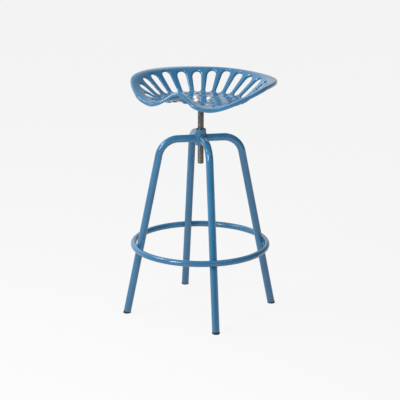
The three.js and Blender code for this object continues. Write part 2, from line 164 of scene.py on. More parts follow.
# Materials
paint = {
    "colour": (0.028, 0.152, 0.300),
    "cloudColour": (0.035, 0.172, 0.325),
    "cloudScale": 14, "cloudRange": (0.38, 0.68),
    "roughness": 0.12, "duller": 0.05, "glossier": 0.04, "glossScale": 60,
    "specular": 0.65,
    "peelScale": 420.0, "peelDepth": 0.000007,     # orange peel of the sprayed coat
}
zinc = {
    "colour": (0.88, 0.88, 0.88),
    "blueColour": (0.78, 0.79, 0.86),
    "patchScale": 160, "patchRange": (0.35, 0.65),
    "roughness": 0.4, "metallic": 0.55,
    "spangleScale": 1400, "spangleDepth": 0.000008,
}
screw = {
    "colour": (0.30, 0.29, 0.265), "oiled": 0.6,      # share of the colour where oil darkens it
    "patchScale": 90, "patchRange": (0.35, 0.7),
    "roughness": 0.3, "duller": 0.1, "glossier": 0.08, "metallic": 0.85,
    "lineScale": 60, "lineStretch": (1, 1, 40), "lineDepth": 0.00002,
}
nutSteel = {
    "colour": (0.30, 0.29, 0.27), "oiled": 0.7,
    "patchScale": 200, "patchRange": (0.35, 0.65),
    "roughness": 0.4, "metallic": 0.9,
    "grainScale": 900, "grainDepth": 0.00002,
}
rubber = {
    "colour": (0.012, 0.012, 0.013),
    "dustColour": (0.03, 0.03, 0.031),
    "dustScale": 120, "dustRange": (0.45, 0.75),
    "roughness": 0.62,
    "grainScale": 2500, "grainDepth": 0.00004,
}
wide = (0.3, 0.7)         # where nearly all of a noise's values lie


def newMaterial(name):
    # a node material with its nodes, links and main shader
    material = bpy.data.materials.new(name)
    material.use_nodes = True
    nodes = material.node_tree.nodes
    return material, nodes, material.node_tree.links, nodes["Principled BSDF"]


def addNoise(nodes, links, scale, detail, roughness=0.5, stretch=None):
    # noise on the object's own coordinates, stretched first where stretch is given
    place = nodes.new("ShaderNodeTexCoord")
    source = place.outputs["Object"]
    if stretch:
        mapping = nodes.new("ShaderNodeMapping")
        mapping.inputs["Scale"].default_value = stretch
        links.new(source, mapping.inputs["Vector"])
        source = mapping.outputs["Vector"]
    noise = nodes.new("ShaderNodeTexNoise")
    noise.inputs["Scale"].default_value = scale
    noise.inputs["Detail"].default_value = detail
    noise.inputs["Roughness"].default_value = roughness
    links.new(source, noise.inputs["Vector"])
    return noise.outputs["Fac"]


def addRange(nodes, links, source, span, toLow=0.0, toHigh=1.0):
    # the span from its low to its high end, mapped in a straight line
    node = nodes.new("ShaderNodeMapRange")
    node.inputs["From Min"].default_value = span[0]
    node.inputs["From Max"].default_value = span[1]
    node.inputs["To Min"].default_value = toLow
    node.inputs["To Max"].default_value = toHigh
    links.new(source, node.inputs["Value"])
    return node.outputs["Result"]


def mixColours(nodes, links, factor, first, second, shader):
    # base colour from the first to the second as the factor rises
    node = nodes.new("ShaderNodeMix")
    node.data_type = "RGBA"
    node.inputs["A"].default_value = (*first, 1)
    node.inputs["B"].default_value = (*second, 1)
    links.new(factor, node.inputs["Factor"])
    links.new(node.outputs["Result"], shader.inputs["Base Color"])


def addBump(nodes, links, height, distance, shader):
    # relief from a height, as deep as distance in metres
    bump = nodes.new("ShaderNodeBump")
    bump.inputs["Distance"].default_value = distance
    bump.inputs["Strength"].default_value = 1.0
    links.new(height, bump.inputs["Height"])
    links.new(bump.outputs["Normal"], shader.inputs["Normal"])


def makePaint():
    # sprayed gloss: cloudy colour, slightly uneven gloss, orange peel
    material, nodes, links, shader = newMaterial("bluePaint")
    cloud = addRange(nodes, links, addNoise(nodes, links, paint["cloudScale"], 4), paint["cloudRange"])
    mixColours(nodes, links, cloud, paint["colour"], paint["cloudColour"], shader)
    gloss = addNoise(nodes, links, paint["glossScale"], 3)
    low, high = paint["roughness"] - paint["glossier"], paint["roughness"] + paint["duller"]
    links.new(addRange(nodes, links, gloss, wide, low, high), shader.inputs["Roughness"])
    addBump(nodes, links, addNoise(nodes, links, paint["peelScale"], 1), paint["peelDepth"], shader)
    shader.inputs["Specular IOR Level"].default_value = paint["specular"]
    return material


def makeZinc():
    # bright zinc plate: bluish in patches, finely spangled
    material, nodes, links, shader = newMaterial("boltZinc")
    patch = addRange(nodes, links, addNoise(nodes, links, zinc["patchScale"], 3), zinc["patchRange"])
    mixColours(nodes, links, patch, zinc["colour"], zinc["blueColour"], shader)
    shader.inputs["Metallic"].default_value = zinc["metallic"]
    shader.inputs["Roughness"].default_value = zinc["roughness"]
    addBump(nodes, links, addNoise(nodes, links, zinc["spangleScale"], 2), zinc["spangleDepth"], shader)
    return material


def makeScrewSteel():
    # oiled turned steel: lines round the bar, darker in patches
    material, nodes, links, shader = newMaterial("screwSteel")
    patch = addRange(nodes, links, addNoise(nodes, links, screw["patchScale"], 4), screw["patchRange"])
    dark = tuple(screw["oiled"] * c for c in screw["colour"])
    mixColours(nodes, links, patch, screw["colour"], dark, shader)
    lines = addNoise(nodes, links, screw["lineScale"], 3, 0.6, screw["lineStretch"])
    low, high = screw["roughness"] - screw["glossier"], screw["roughness"] + screw["duller"]
    links.new(addRange(nodes, links, lines, wide, low, high), shader.inputs["Roughness"])
    shader.inputs["Metallic"].default_value = screw["metallic"]
    addBump(nodes, links, lines, screw["lineDepth"], shader)
    return material


def makeNutSteel():
    # cast steel: darker in patches, grainy
    material, nodes, links, shader = newMaterial("nutSteel")
    patch = addRange(nodes, links, addNoise(nodes, links, nutSteel["patchScale"], 3), nutSteel["patchRange"])
    dark = tuple(nutSteel["oiled"] * c for c in nutSteel["colour"])
    mixColours(nodes, links, patch, nutSteel["colour"], dark, shader)
    shader.inputs["Metallic"].default_value = nutSteel["metallic"]
    shader.inputs["Roughness"].default_value = nutSteel["roughness"]
    addBump(nodes, links, addNoise(nodes, links, nutSteel["grainScale"], 2), nutSteel["grainDepth"], shader)
    return material


def makeRubber():
    # moulded rubber: fine grain, greyer with floor dust
    material, nodes, links, shader = newMaterial("blackRubber")
    dust = addRange(nodes, links, addNoise(nodes, links, rubber["dustScale"], 4), rubber["dustRange"])
    mixColours(nodes, links, dust, rubber["colour"], rubber["dustColour"], shader)
    shader.inputs["Roughness"].default_value = rubber["roughness"]
    addBump(nodes, links, addNoise(nodes, links, rubber["grainScale"], 2), rubber["grainDepth"], shader)
    return material


bluePaint = makePaint()
screwSteel = makeScrewSteel()
plainSteel = makeNutSteel()
boltZinc = makeZinc()
blackRubber = makeRubber()
print("stage: materials")


# Seat pan: a pressed dish with slots and holes whose edges roll down, and a rolled lip
pan = {
    "rimShares": [                 # sideways, along, rise, from the back to the front
        (0, 1, 1), (0.846, 0.659, 0.957), (1, -0.147, 0.957), (0.738, -0.687, 0.425),
        (0.491, -0.862, 0.151), (0.278, -1, 0.302), (0, -0.911, 0.785),
    ],
    "halfWidth": 207.0, "back": 190.0, "front": 157.0, "rise": 61.0,
    "centreBack": -2.0, "floor": 641.1, "sheet": 3.0,
    "flatShare": 0.585, "ridgeFlatShare": 0.26, "softness": 0.1, "ridgePower": 3,
    "edgeShare": 0.975, "edgeLimit": 1.05, "edgeSoftness": 0.08,     # the bowl's own oval edge
    "skirtHeight": 8.0, "skirtTurn": 27.0, "skirtSpread": 14.0,     # humps beside the pommel's ridge
    "lipRadius": 4.5, "lipDrop": 10.5,
    "slopeRange": (-0.2, 2.5),     # least and greatest slope of the wall where it meets the roll
    # between the bands: three ovals, then how far outside the slots, and at most inside the rim
    "innerOval": (43.0, 43.0), "middleOval": (80.0, 71.0), "slotOval": (117.0, 99.0),
    "wallInset": 9.0, "wallWidth": 20.0,
    "around": 288, "perStation": 160,
    "discShares": (0, 0.12, 0.3, 0.5, 0.75, 1),     # rows of the middle disc, from its centre out
}
slots = {
    "pitch": 15, "eachSide": 8, "outerWidth": 25.0, "innerWidth": 20.5,
    "insetBack": 12.5, "insetSide": 24.0, "insetCorner": 8.5, "ovalSide": 131.65, "ovalBack": 116.5,
    "short": {135: (114.9, 147.0), 150: (109.7, 130.4)}, "shortWidth": 15.0,
    "backRolls": (4.5, 6.5), "sideRoll": 3.4, "flange": 0.5,     # at a slot's inner and outer end
}
holes = {
    "radius": 5.5,
    "roll": 5.6, "drop": 3.4, "flange": 1.4,     # the edge's width, its fall and its collar
    "outerOval": (104.9, 86.4), "innerOval": (55.5, 56.3),     # where the two rings of holes stand
    "outerCount": 18, "innerCount": 8,
    "lastTurn": 160,     # degrees from the back; nearer to the pommel there is none
}


def closedSpline(points, perSpan):
    # smooth closed curve through points: a cubic between each two, whose tangent at a point is half the gap
    # between the points beside it
    t = np.arange(perSpan)[None, :, None] / perSpan
    p0, p1 = np.roll(points, 1, 0)[:, None], points[:, None]
    p2, p3 = np.roll(points, -1, 0)[:, None], np.roll(points, -2, 0)[:, None]
    m1, m2 = (p2 - p0) / 2, (p3 - p1) / 2
    curve = (2 * t**3 - 3 * t**2 + 1) * p1 + (t**3 - 2 * t**2 + t) * m1
    curve = curve + (-2 * t**3 + 3 * t**2) * p2 + (t**3 - t**2) * m2
    return curve.reshape(-1, points.shape[1])


def oval(theta, side, back):
    # reach of an ellipse in a direction that is counted from the back
    return 1 / np.hypot(np.sin(theta) / side, np.cos(theta) / back)


def softMin(a, b, softness):
    # the lesser of two values: half their sum less half the hypotenuse of their difference and a softness
    return (a + b - np.hypot(a - b, softness)) / 2


def bowl(share, level, edge):
    # 0 on the floor, 1 at the rim; a hyperbola that leaves the floor softly at the share called level,
    # and flattens softly where it meets the share called edge
    k, soft = pan["softness"], pan["edgeSoftness"]

    def climb(at):
        s = np.clip((at - level) / (edge - level), 0, None)
        rise = (np.hypot(s, k) - k) / (np.hypot(1, k) - k)
        return softMin(rise, 1, soft) - softMin(0, 1, soft)
    return climb(share) / climb(1)


def levelAt(theta):
    # share of the way out that is level, least along the pommel's ridge
    towardsFront = np.clip(-np.cos(theta), 0, None)
    return pan["flatShare"] + (pan["ridgeFlatShare"] - pan["flatShare"]) * towardsFront ** pan["ridgePower"]


def edgeAt(theta, reach):
    # share of the way out at which the wall ends: the bowl's oval edge over the rim's reach, softly limited
    edge = pan["edgeShare"] * oval(theta, pan["halfWidth"], pan["back"] - pan["centreBack"])
    return softMin(edge / reach, pan["edgeLimit"], pan["edgeSoftness"])


def makeRimTable():
    # crest of the rim, its outward direction, and the slope at which the wall meets the roll
    right = np.array(pan["rimShares"], float)
    left = right[-2:0:-1] * (-1, 1, 1)
    shares = np.concatenate([right, left])
    along = np.where(shares[:, 1] > 0, pan["back"], pan["front"]) * shares[:, 1]
    sideways, height = shares[:, 0] * pan["halfWidth"], pan["floor"] + pan["rise"] * shares[:, 2]
    crest = closedSpline(np.stack([sideways, along, height], -1), pan["perStation"])
    tangent = np.roll(crest, -1, 0) - np.roll(crest, 1, 0)
    flat = np.linalg.norm(tangent[:, :2], axis=1)
    forward = tangent[:, :2] / flat[:, None]
    outward = np.stack([-forward[:, 1], forward[:, 0]], -1)
    away = crest[:, :2] - (0, pan["centreBack"])
    reach = np.linalg.norm(away, axis=1)
    ray = away / reach[:, None]
    theta = np.arctan2(away[:, 0], away[:, 1])
    step = 0.001     # share of the way out over which the wall's climb is measured
    climb = (1 - bowl(1 - step, levelAt(theta), edgeAt(theta, reach))) / step
    raySlope = (crest[:, 2] - pan["floor"]) * climb / reach
    forwardSlope = tangent[:, 2] / flat
    a, b = (ray * outward).sum(1), (ray * forward).sum(1)
    slope = np.arctan(np.clip((raySlope - b * forwardSlope) / a, *pan["slopeRange"]))
    r = pan["lipRadius"]
    wall = crest.copy()
    wall[:, :2] -= outward * (r * np.sin(slope))[:, None]
    wall[:, 2] -= r * (1 - np.cos(slope))
    theta = np.unwrap(np.arctan2(wall[:, 0], wall[:, 1] - pan["centreBack"]))
    wallReach = np.hypot(wall[:, 0], wall[:, 1] - pan["centreBack"])
    crestTheta = np.unwrap(np.arctan2(away[:, 0], away[:, 1]))
    return {
        "theta": theta, "reach": wallReach, "height": wall[:, 2], "crest": crest,
        "outward": outward, "slope": slope, "crestTheta": crestTheta, "crestReach": reach,
    }


rim = makeRimTable()


def atRim(theta, name, of="theta"):
    # a column of the rim's table in a direction, by straight lines between its rows
    values = rim[name]
    if values.ndim == 1:
        return np.interp(theta, rim[of], values, period=turn)
    return np.stack([np.interp(theta, rim[of], column, period=turn) for column in values.T], -1)


def skirt(share, theta):
    # hump between the level floor and the rim, sine squared outwards, a bell curve sideways
    t = np.clip((share - pan["ridgeFlatShare"]) / (1 - pan["ridgeFlatShare"]), 0, 1)
    fromFront = 180 - np.abs(np.degrees(np.arctan2(np.sin(theta), np.cos(theta))))
    off = (fromFront - pan["skirtTurn"]) / pan["skirtSpread"]
    return pan["skirtHeight"] * np.sin(np.pi * t) ** 2 * np.exp(-off**2)


def panHeight(x, y):
    # height of the upper face over a point in plan: floor, the bowl's share of the rim's rise, and the skirts
    theta = np.arctan2(x, y - pan["centreBack"])
    share = np.hypot(x, y - pan["centreBack"]) / atRim(theta, "reach")
    edge = edgeAt(theta, atRim(theta, "crestReach", "crestTheta"))
    rise = (atRim(theta, "height") - pan["floor"]) * bowl(share, levelAt(theta), edge)
    return pan["floor"] + rise + skirt(share, theta)


def panFace(plan):
    # point and upward normal of the upper face; the normal from central differences
    x, y = plan[..., 0], plan[..., 1]
    step = 0.4
    slopeX = (panHeight(x + step, y) - panHeight(x - step, y)) / (2 * step)
    slopeY = (panHeight(x, y + step) - panHeight(x, y - step)) / (2 * step)
    point = np.stack([x, y, panHeight(x, y)], -1)
    return point, unit(np.stack([-slopeX, -slopeY, np.ones_like(x)], -1))


def polar(theta, reach):
    # place in plan: a reach in a direction, from the bowl's centre
    return np.stack([reach * np.sin(theta), pan["centreBack"] + reach * np.cos(theta)], -1)


def slotInset(theta):
    # a slot's outer end below the crest: more with the sine squared of its direction, most at the corners
    sideways = (slots["insetSide"] - slots["insetBack"]) * np.sin(theta) ** 2
    return slots["insetBack"] + sideways + slots["insetCorner"] * np.sin(2 * theta) ** 2


# Curves between the bands of the pan, as reach in a direction: three ovals, and the wall's at an inset
def innerCurve(theta):
    return oval(theta, *pan["innerOval"])


def middleCurve(theta):
    return oval(theta, *pan["middleOval"])


def slotCurve(theta):
    return oval(theta, *pan["slotOval"])


def wallCurve(theta):
    return atRim(theta, "reach") - np.minimum(slotInset(theta) - pan["wallInset"], pan["wallWidth"])


def cellLoop(low, high, inside, outside, across, along):
    # outline of a cell in plan, round its four sides from its inner left corner
    t, s = np.arange(across) / across, np.arange(along) / along
    bottom, top = low + (high - low) * t, high + (low - high) * t

    def sideReach(angle, share):
        return inside(angle) + (outside(angle) - inside(angle)) * share
    return np.concatenate([
        polar(bottom, inside(bottom)),
        polar(np.full(along, high), sideReach(high, s)),
        polar(top, outside(top)),
        polar(np.full(along, low), sideReach(low, 1 - s)),
    ])


def slotLoop(theta, inner, outer, widths, rolls, across, along):
    # tapered slot with round ends, grown by its edge's roll, which widens outwards; then its outward
    # normals and the roll at each point, in the same order as a cell's outline
    t, s = np.arange(across) / across, np.arange(along) / along
    low, high = widths[0] / 2, widths[1] / 2
    start, end = inner + low, outer - high
    bottom, top = np.pi * (1 + t), np.pi * t
    side = np.stack([low + (high - low) * s, start + (end - start) * s], -1)
    local = np.concatenate([
        np.stack([low * np.cos(bottom), start + low * np.sin(bottom)], -1),
        side,
        np.stack([high * np.cos(top), end + high * np.sin(top)], -1),
        np.stack([-(high + (low - high) * s), end + (start - end) * s], -1),
    ])
    out = np.concatenate([
        np.stack([np.cos(bottom), np.sin(bottom)], -1), np.tile([1.0, 0.0], (along, 1)),
        np.stack([np.cos(top), np.sin(top)], -1), np.tile([-1.0, 0.0], (along, 1)),
    ])
    share = np.clip((local[:, 1:] - start) / (end - start), 0, 1)
    roll = rolls[0] + (rolls[1] - rolls[0]) * share
    return (*placeLoop(theta, local + roll * out, out), roll)


def holeLoop(theta, reach, radius, grow, across, along):
    # circle whose quarters answer to the four sides of a cell
    t, s = np.arange(across) / across, np.arange(along) / along
    angle = np.concatenate([1.25 + t / 2, 1.75 + s / 2, 2.25 + t / 2, 2.75 + s / 2]) * np.pi
    out = np.stack([np.cos(angle), np.sin(angle)], -1)
    return placeLoop(theta, (radius + grow) * out + (0, reach), out)


def placeLoop(theta, local, out):
    # from a slot's own axes, sideways and outward, to the plan
    sideways = np.array([np.cos(theta), -np.sin(theta)])
    outward = np.array([np.sin(theta), np.cos(theta)])
    plan = local[:, :1] * sideways + local[:, 1:] * outward + (0, pan["centreBack"])
    return plan, out[:, :1] * sideways + out[:, 1:] * outward


def cellGrid(loop, outline, out, roll, drop, flange):
    # rings from the cell's outline on the upper face to the slot, over its edge, a quarter of an ellipse
    # as wide as roll and as deep as drop, and back below
    rings, crowding, rounding = 7, 0.8, 0.5     # rows to the edge, their power, and the hem's corners
    shares = (np.linspace(0, 1, rings) ** crowding)[:, None, None]
    top, topNormal = panFace(loop + (outline - loop) * shares)
    sheet = pan["sheet"]
    edge, normal = top[-1], topNormal[-1]
    inward = np.concatenate([-out, np.zeros((len(out), 1))], 1)
    inward = unit(inward - (inward * normal).sum(1, keepdims=True) * normal)
    angle = np.linspace(0, np.pi / 2, rings)[1:, None, None]
    over = edge + roll * inward * np.sin(angle) - drop * normal * (1 - np.cos(angle))
    end = over[-1] - normal * flange
    under = edge - normal * drop + (roll - sheet) * inward * np.sin(angle[::-1])
    under = under + (drop - sheet) * normal * np.cos(angle[::-1])
    hem = np.stack([
        end, end - normal * rounding - inward * rounding,
        end - normal * rounding - inward * (sheet - rounding), end - inward * sheet,
    ])
    below = (top - topNormal * sheet)[::-1]
    return np.concatenate([top, over, hem, under[:-1:2], below])


def plainGrid(low, high, inside, outside, across, along):
    # a cell with nothing in it, upper face and lower face
    theta = np.linspace(low, high, across + 1)[None]
    share = np.linspace(0, 1, along + 1)[:, None]
    reach = inside(theta) + (outside(theta) - inside(theta)) * share
    top, normal = panFace(polar(theta + 0 * reach, reach))
    return top, (top - normal * pan["sheet"])[::-1]


def panBand(count, offset, inside, outside, along, cutter):
    # a ring of cells; cutter gives the rest of what cellGrid asks for, or nothing for a plain cell
    grids = []
    across = pan["around"] // count
    width = turn / count
    for k in range(count):
        middle = (k + offset) * width
        low, high = middle - width / 2, middle + width / 2
        cut = cutter(middle, across, along)
        if cut is None:
            top, bottom = plainGrid(low, high, inside, outside, across, along)
            grids += [(top, False), (bottom, False)]
        else:
            loop = cellLoop(low, high, inside, outside, across, along)
            grids.append((cellGrid(loop, *cut), True))
    return grids


def cutSlot(middle, across, along):
    # long slots round the back and sides, short ones beside the pommel, none at the pommel itself
    middle = (middle + np.pi) % turn - np.pi
    degrees = round(abs(math.degrees(middle)))
    if degrees <= slots["pitch"] * slots["eachSide"]:
        inner = oval(middle, slots["ovalSide"], slots["ovalBack"])
        outer = atRim(middle, "crestReach", "crestTheta") - slotInset(middle)
        widths = slots["innerWidth"], slots["outerWidth"]
    elif degrees in slots["short"]:
        inner, outer = slots["short"][degrees]
        widths = (slots["shortWidth"],) * 2
    else:
        return None
    towardsBack = max(math.cos(middle), 0)
    rolls = [slots["sideRoll"] + (roll - slots["sideRoll"]) * towardsBack for roll in slots["backRolls"]]
    plan, out, roll = slotLoop(middle, inner, outer, widths, rolls, across, along)
    return plan, out, roll, roll, slots["flange"]


def cutHole(ring):
    # cutter for one ring of holes, which stand on its oval
    def cutter(middle, across, along):
        middle = (middle + np.pi) % turn - np.pi
        if abs(math.degrees(middle)) > holes["lastTurn"]:
            return None
        reach = oval(middle, *holes[ring])
        plan, out = holeLoop(middle, reach, holes["radius"], holes["roll"], across, along)
        return plan, out, holes["roll"], holes["drop"], holes["flange"]
    return cutter


def discGrids():
    # middle of the pan, from its centre to the first band
    theta = np.arange(pan["around"]) / pan["around"] * turn
    share = np.array(pan["discShares"])[:, None]
    top, normal = panFace(polar(theta + 0 * share, innerCurve(theta) * share))
    normal[0], top[0] = (0, 0, 1), (0, pan["centreBack"], pan["floor"])
    return [(top, True), ((top - normal * pan["sheet"])[::-1], True)]


def lipGrid():
    # from the slots' band up the wall, over the crest, down the lip, round its hem and back below
    wallRows, crestRows, hemRows = 5, 9, 7
    lastShare = 0.999     # just inside the rim, where the wall's slope can still be measured
    theta = np.arange(pan["around"]) / pan["around"] * turn
    share = np.linspace(0, 1, wallRows)[:, None]
    start, end = wallCurve(theta), atRim(theta, "reach")
    top, normal = panFace(polar(theta + 0 * share, start + (end - start) * np.minimum(share, lastShare)))
    slope = atRim(theta, "slope")
    outward = np.concatenate([atRim(theta, "outward"), np.zeros((len(theta), 1))], 1)
    up = np.array([0, 0, 1.0])
    r, sheet, drop = pan["lipRadius"], pan["sheet"], pan["lipDrop"]
    centre = atRim(theta, "crest") - up * r
    spread = np.linspace(0, 1, crestRows)[:, None]
    angle = (-slope + (np.pi / 2 + slope) * spread)[..., None]
    direction = np.sin(angle) * outward + np.cos(angle) * up
    hem = np.linspace(0, np.pi, hemRows)[:, None, None]
    hemCentre = centre + outward * (r - sheet / 2) - up * (drop - r - sheet / 2)
    hemRing = hemCentre + sheet / 2 * (np.cos(hem) * outward - np.sin(hem) * up)
    below = (top - normal * sheet)[::-1]
    inside = centre + (r - sheet) * direction[::-1]
    return np.concatenate([top[:-1], centre + r * direction, hemRing, inside, below[1:]])


def makePan():
    # disc, two bands of holes, the band of slots and the lip, welded where they meet
    holeRows, slotRows = 8, 11
    bands = discGrids()
    bands += panBand(holes["innerCount"], 0.5, innerCurve, middleCurve, holeRows, cutHole("innerOval"))
    bands += panBand(holes["outerCount"], 0.5, middleCurve, slotCurve, holeRows, cutHole("outerOval"))
    bands += panBand(360 // slots["pitch"], 0, slotCurve, wallCurve, slotRows, cutSlot)
    bands.append((lipGrid(), True))
    makePiece("seatPan", bands, bluePaint, "seat", ["seat_pan"], sharp=50)


makePan()
print("stage: seat pan")


# Under frame: legs, foot ring, hub, and the weld beads where they meet
legs = {
    "count": 4, "firstAngle": 38.0, "lean": 11.5, "radius": 11.0, "bend": 58.0,
    "footReach": 222.3, "armHeight": 527.0, "endHeight": 5.0, "innerReach": 14.0,
    "armRows": 6, "bendRows": 33, "footRows": 26, "sides": 48,
}
footRing = {"radius": 9.0, "height": 204.6, "letIn": 3.0, "around": 240, "sides": 36}
hub = {"outer": 16.0, "inner": 12.7, "low": 506.5, "high": 554.5, "rounding": 1.2, "sides": 72}
beads = {
    "hubRadius": 2.3, "ringRadius": 1.9, "ripple": 0.16, "rippleLength": 2.6,
    "around": 120, "halfAround": 41, "sides": 12,
}

lean = math.radians(legs["lean"])
legAngles = [math.radians(legs["firstAngle"] + 90 * k) for k in range(legs["count"])]


def legReach(height):
    # the leg's axis leans inwards from its foot
    return legs["footReach"] - height * math.tan(lean)


legOutside = legReach(footRing["height"]) + legs["radius"] / math.cos(lean)
ringReach = legOutside + footRing["radius"] - footRing["letIn"]


def legPath():
    # level arm, circular bend, leaning leg, in the plane of X and Z
    bendAngle = np.pi / 2 - lean
    tangent = legs["bend"] * math.tan(bendAngle / 2)
    centre = legReach(legs["armHeight"]) - tangent
    angle = np.linspace(0, bendAngle, legs["bendRows"])
    arc = np.stack([centre + legs["bend"] * np.sin(angle), 0 * angle,
                    legs["armHeight"] - legs["bend"] * (1 - np.cos(angle))], -1)
    arm = np.linspace([legs["innerReach"], 0, legs["armHeight"]], arc[0], legs["armRows"])[:-1]
    foot = np.array([legReach(legs["endHeight"]), 0, legs["endHeight"]])
    return np.concatenate([arm, arc, np.linspace(arc[-1], foot, legs["footRows"])[1:]])


def cappedTube(path, side, radius, sides):
    # a tube closed at both ends by rings that shrink to a point
    body = sweep(path, np.asarray(side, float), radius, sides)
    first, last = np.repeat(path[:1], sides, 0)[None], np.repeat(path[-1:], sides, 0)[None]
    return np.concatenate([first, body, last])


def makeLegs():
    # one tube on its path, turned to each leg's angle
    tube = cappedTube(legPath(), (0, 1, 0), legs["radius"], legs["sides"])
    for k, angle in enumerate(legAngles):
        grid = turnAboutZ(tube, angle)
        makePiece(f"legTube{k + 1}", [(grid, True)], bluePaint, "base", [f"leg_{k + 1}"])


def makeFootRing():
    # a round section carried round a level circle
    angle = np.arange(footRing["around"]) / footRing["around"] * turn
    x, y = ringReach * np.cos(angle), ringReach * np.sin(angle)
    path = np.stack([x, y, 0 * angle + footRing["height"]], -1)
    tube = sweep(path, np.array([0, 0, 1.0]), footRing["radius"], footRing["sides"], closed=True)
    tube = np.concatenate([tube, tube[:1]])
    makePiece("footRing", [(tube, True)], bluePaint, "base", ["foot_ring"])


def collar(inner, outer, low, high, rounding, steps, sides):
    # a rectangle with rounded corners turned about Z; it starts and ends halfway up the bore
    middle = (low + high) / 2
    wall = [[inner, middle], [inner, low], [outer, low], [outer, high], [inner, high], [inner, middle]]
    return lathe(roundCorners(wall, rounding, steps), sides)


def makeHub():
    # a sleeve with rounded edges
    tube = collar(hub["inner"], hub["outer"], hub["low"], hub["high"], hub["rounding"], 4, hub["sides"])
    makePiece("hubSleeve", [(tube, True)], bluePaint, "base", ["hub_sleeve"], merge=0.01)


def beadRadius(path, radius):
    # the bead swells and narrows along its length, as laid drops do: a sine's size, whole waves to a turn
    step = np.linalg.norm(np.roll(path, -1, 0) - path, axis=1)
    length = np.concatenate([[0], np.cumsum(step)])
    count = round(length[-1] / beads["rippleLength"])
    phase = length[:-1] / length[-1] * count
    return radius * (1 + beads["ripple"] * np.abs(np.sin(np.pi * phase)) - beads["ripple"] / 2)


def hubBeadPath():
    # where the arm's cylinder, along X, meets the hub's, along Z
    angle = np.arange(beads["around"]) / beads["around"] * turn
    y, z = legs["radius"] * np.cos(angle), legs["radius"] * np.sin(angle)
    return np.stack([np.sqrt(hub["outer"] ** 2 - y**2), y, legs["armHeight"] + z], -1)


def ringBeadPath():
    # where the ring's tube, taken as straight, meets the leaning leg: for each angle round the ring's
    # tube the sideways distance follows from the leg's radius, once on each side
    gap = ringReach - legReach(footRing["height"])
    span = np.linspace(0, np.pi, beads["halfAround"])
    r, leg = footRing["radius"], legs["radius"]
    limit = gap * math.cos(lean) - leg
    reachAngle = math.acos(limit / r)
    beta = np.pi + lean + reachAngle * np.cos(span)
    dx, dz = gap + r * np.cos(beta), r * np.sin(beta)
    off = dx * math.cos(lean) + dz * math.sin(lean)
    side = np.sqrt(np.clip(leg**2 - off**2, 0, None))
    half = np.stack([legReach(footRing["height"]) + dx, side, footRing["height"] + dz], -1)
    other = half[-2:0:-1] * (1, -1, 1)
    return np.concatenate([half, other])


def makeBead(name, path, radius, angle):
    # a rippled section carried round the joint, then turned to its leg
    ring = sweep(path, np.array([1.0, 0, 0]), beadRadius(path, radius), beads["sides"], closed=True)
    ring = turnAboutZ(np.concatenate([ring, ring[:1]]), angle)
    makePiece(name, [(ring, True)], bluePaint, "base", ())


def makeBeads():
    # for each leg one bead round its arm at the hub, and one round its joint with the ring
    for k, angle in enumerate(legAngles):
        makeBead(f"hubWeld{k + 1}", hubBeadPath(), beads["hubRadius"], angle)
        makeBead(f"ringWeld{k + 1}", ringBeadPath(), beads["ringRadius"], angle)


makeLegs()
makeFootRing()
makeHub()
makeBeads()
print("stage: under frame")


# Glides: black plugs that stand flat on the floor
glide = {
    "radius": 11.0, "bulge": 0.5, "bevel": 1.4, "sides": 48,
    "plug": 9.0, "plugLength": 16.0, "plugBevel": 1.0, "end": 5.0,
    "shoulder": 0.3, "shoulderDrop": 0.15,     # the step at the tube's end
    "toe": ((0.2, 0.7), (-0.5, 0.168), (-1.4, 0)),     # outside the tube and above the floor
}


def makeGlides():
    # rings round the leaning axis: the upper ones square to it, the lower ones cut level at a height, and
    # one halfway between the two
    angle = np.arange(glide["sides"]) / glide["sides"] * turn
    along = np.array([-math.sin(lean), 0, math.cos(lean)])
    across = np.array([math.cos(lean), 0, math.sin(lean)])
    end = np.array([legReach(glide["end"]), 0, glide["end"]])

    def square(radius, height):
        # a circle square to the axis, at a height along it
        ring = radius * (np.cos(angle)[:, None] * across + np.sin(angle)[:, None] * (0, 1, 0))
        return end + height * along + ring

    def level(radius, height):
        # the same circle with each point moved along the axis to a level height
        flat = square(radius, 0)
        return flat + ((height - flat[:, 2]) / along[2])[:, None] * along

    r, bulge, bevel, shoulder = glide["radius"], glide["bulge"], glide["bevel"], glide["shoulder"]
    plug, top, plugBevel = glide["plug"], glide["plugLength"], glide["plugBevel"]
    lastSquare, firstLevel = square(r + bulge, -bevel / 2), level(r + bulge, bevel)
    rows = [
        square(0, top), square(plug - plugBevel, top), square(plug, top - plugBevel), square(plug, 0),
        square(r - shoulder, 0), square(r + shoulder * bulge, -glide["shoulderDrop"]),
        lastSquare, (lastSquare + firstLevel) / 2, firstLevel,
        *[level(r + outside, height) for outside, height in glide["toe"]], level(r / 2, 0), level(0, 0),
    ]
    grid = np.stack(rows)[::-1]
    for k, legAngle in enumerate(legAngles):
        makePiece(f"footGlide{k + 1}", [(turnAboutZ(grid, legAngle), True)], blackRubber, "base",
                  [f"glide_{k + 1}"])


makeGlides()
print("stage: glides")


# Spindle with its thread, the nut inside the hub and the buffer under the seat
spindle = {
    "radius": 9.0, "low": 450.5, "high": 637.8, "pitch": 2.0, "starts": 2, "depth": 0.95, "chamfer": 1.5,
    "crest": 0.45, "root": 0.12,     # flat shares of half a wave of the thread
    "sides": 48, "stepsPerPitch": 8,
}
nut = {
    "outer": 12.4, "inner": 9.25, "low": 508.0, "high": 542.0,
    "leadIn": 1.2, "rounding": 0.3, "sides": 64,
}
buffer = {"outer": 17.0, "inner": 9.3, "low": 627.5, "height": 5.0, "rounding": 1.5, "sides": 64}


